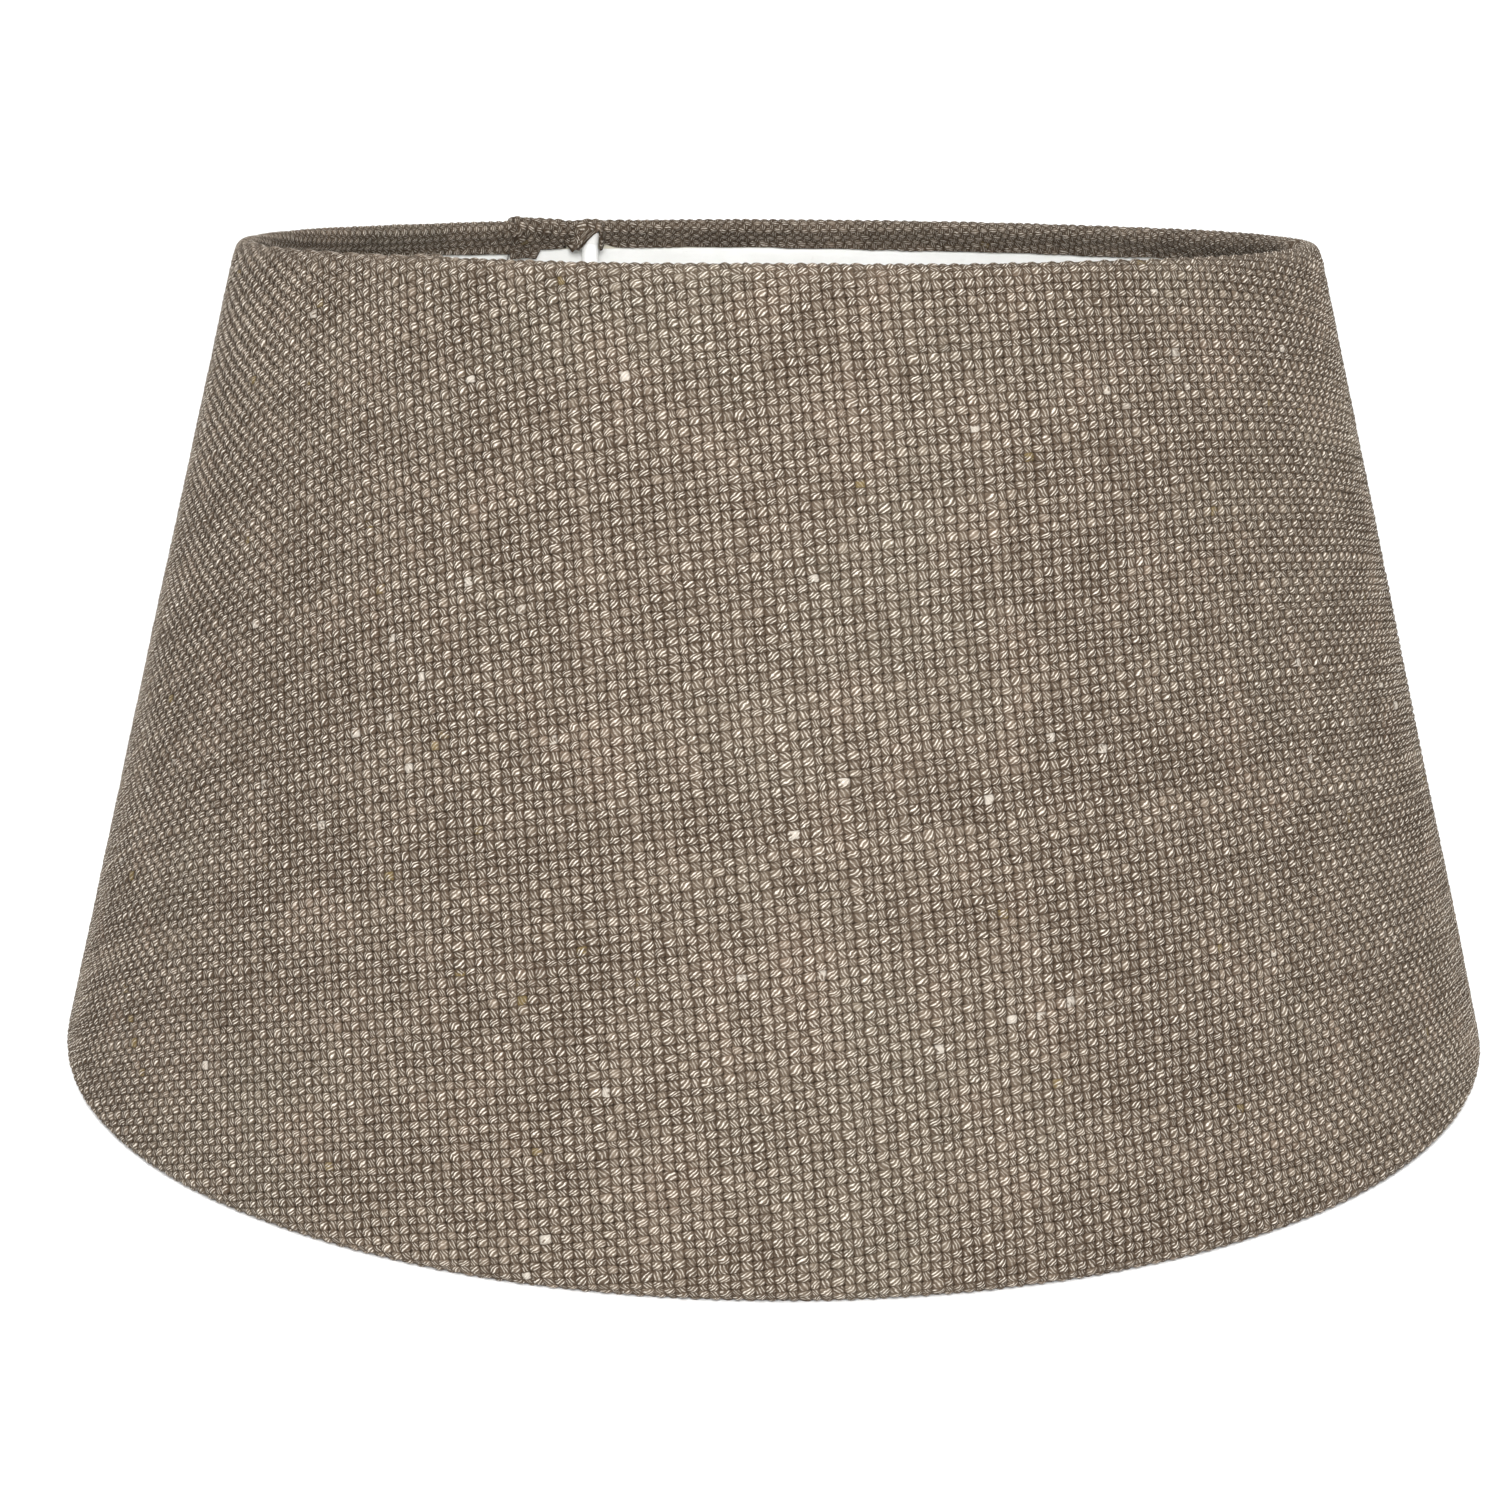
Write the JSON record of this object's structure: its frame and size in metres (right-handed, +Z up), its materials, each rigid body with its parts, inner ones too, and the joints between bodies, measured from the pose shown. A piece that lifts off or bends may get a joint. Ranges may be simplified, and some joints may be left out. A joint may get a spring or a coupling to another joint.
{
  "type": "lamp shade",
  "caption": "Round tapered lamp shade of coarse woven cloth on a stiff white liner, with rolled edges, a wire frame and a fitter ring inside the top.",
  "frame": {"origin": "on the shade's axis, in the plane that its wide end stands on", "axes": "+Z up along the axis, from the wide end to the narrow end; -Y faces the viewer; +X to the viewer's right"},
  "size_m": [0.3, 0.3, 0.164],
  "materials": {
    "cover_cloth": "coarse plain weave, matte",
    "seam_cloth": "coarse plain weave, folded edge",
    "adhesive_tape": "clear adhesive film",
    "liner_sheet": "satin white sheet",
    "ring_wire": "drawn wire",
    "white_wire": "white powder coat",
    "white_metal": "white powder coat",
    "weld_bead": "white powder coat over a weld",
    "reducer_plastic": "moulded white plastic"
  },
  "bodies": {
    "shade": {"cover_fabric": "cover_cloth", "seam_lap": "seam_cloth", "seam_tape": "adhesive_tape", "liner_panel": "liner_sheet", "top_ring": "ring_wire", "bottom_ring": "ring_wire", "top_hem_tape": "adhesive_tape", "bottom_hem_tape": "adhesive_tape", "spider_arm_1": "white_wire", "spider_arm_2": "white_wire", "spider_arm_3": "white_wire", "fitter_ring": "white_metal", "ring_welds": "weld_bead", "fitter_welds": "weld_bead"},
    "reducer": {"reducer_ring": "reducer_plastic"}
  },
  "joints": [
    {"name": "reducer_lift", "type": "slide", "parent": "shade", "child": "reducer", "axis": [0, 0, 1], "range_m": [0, 0.06]}
  ]
}
